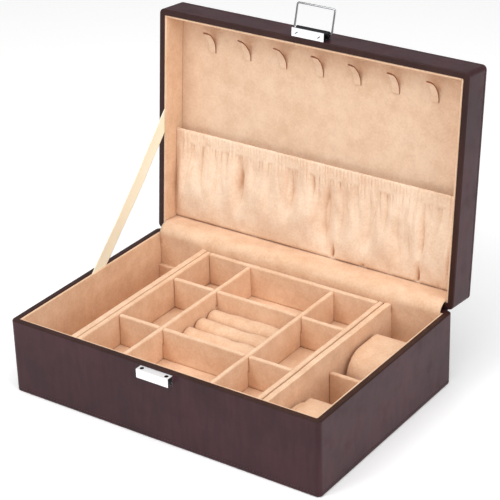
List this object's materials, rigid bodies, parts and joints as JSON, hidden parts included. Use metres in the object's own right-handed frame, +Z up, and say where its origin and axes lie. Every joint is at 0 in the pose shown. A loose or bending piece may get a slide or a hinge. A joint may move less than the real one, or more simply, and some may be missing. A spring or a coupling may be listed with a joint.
{
  "type": "jewellery case",
  "caption": "Leather-covered jewellery case with a hinged lid, wire clasp, ribbon stay, necklace hooks, gathered lid pocket, lift-out divided tray and watch pillows.",
  "frame": {"origin": "centre of the underside sheet's face, on which the case stands", "axes": "+X along the width, with the watch cells on the +X side; the clasp faces -Y; +Z up"},
  "size_m": [0.29, 0.2472, 0.2833],
  "materials": {
    "leather": "dark brown satin leather with a fine soft grain, stitched near its edges",
    "suede_lining": "peach-tan velour with a short soft nap",
    "board": "plain dense board, hidden by its covers",
    "chrome": "polished chrome plate",
    "satin_ribbon": "pale cream satin ribbon",
    "elastic": "woven elastic band",
    "underside_felt": "dark brown flocked sheet"
  },
  "bodies": {
    "base": {"base_front_board": "board", "base_back_board": "board", "base_left_board": "board", "base_right_board": "board", "base_bottom_board": "board", "base_leather_cover": "leather", "base_underside_sheet": "underside_felt", "base_lining_front": "suede_lining", "base_lining_back": "suede_lining", "base_lining_left": "suede_lining", "base_lining_right": "suede_lining", "base_lining_floor": "suede_lining", "front_ledge": "suede_lining", "rear_ledge": "suede_lining", "left_partition": "suede_lining", "right_partition": "suede_lining", "watch_divider": "suede_lining", "base_catch": "chrome", "catch_rivets": "chrome", "stay_ribbon": "satin_ribbon", "hinge_leather": "leather", "hinge_lining": "suede_lining"},
    "lid": {"lid_top_board": "board", "lid_front_board": "board", "lid_back_board": "board", "lid_left_board": "board", "lid_right_board": "board", "lid_leather_cover": "leather", "lid_panel": "suede_lining", "lid_lining_front": "suede_lining", "lid_lining_back": "suede_lining", "lid_lining_left": "suede_lining", "lid_lining_right": "suede_lining", "pocket": "suede_lining", "pocket_elastic": "elastic", "hook_1": "suede_lining", "hook_2": "suede_lining", "hook_3": "suede_lining", "hook_4": "suede_lining", "hook_5": "suede_lining", "hook_6": "suede_lining", "hook_7": "suede_lining", "latch_housing": "chrome", "latch_rivets": "chrome"},
    "bail": {"latch_bail": "chrome"},
    "tray": {"tray_floor": "suede_lining", "tray_front_wall": "suede_lining", "tray_back_wall": "suede_lining", "tray_left_wall": "suede_lining", "tray_right_wall": "suede_lining", "tray_row_divider_front": "suede_lining", "tray_row_divider_back": "suede_lining", "tray_column_divider_left": "suede_lining", "tray_column_divider_right": "suede_lining", "ring_roll_1": "suede_lining", "ring_roll_2": "suede_lining", "ring_roll_3": "suede_lining", "ring_roll_4": "suede_lining"},
    "pillow_front": {"watch_pillow_front": "suede_lining"},
    "pillow_rear": {"watch_pillow_rear": "suede_lining"}
  },
  "joints": [
    {"name": "lid_hinge", "type": "hinge", "parent": "base", "child": "lid", "pos_m": [0, 0.0975, 0.065], "axis": [-1, 0, 0], "range_deg": [-95, 0], "deforming": ["stay_ribbon", "hinge_leather", "hinge_lining"]},
    {"name": "bail_pivot", "type": "hinge", "parent": "lid", "child": "bail", "pos_m": [0, 0.12388, 0.26326], "axis": [1, 0, 0], "range_deg": [0, 101]},
    {"name": "tray_lift", "type": "slide", "parent": "base", "child": "tray", "axis": [0, 0, 1], "range_m": [0, 0.04]},
    {"name": "pillow_front_lift", "type": "slide", "parent": "base", "child": "pillow_front", "axis": [0, 0, 1], "range_m": [0, 0.065]},
    {"name": "pillow_rear_lift", "type": "slide", "parent": "base", "child": "pillow_rear", "axis": [0, 0, 1], "range_m": [0, 0.065]}
  ]
}
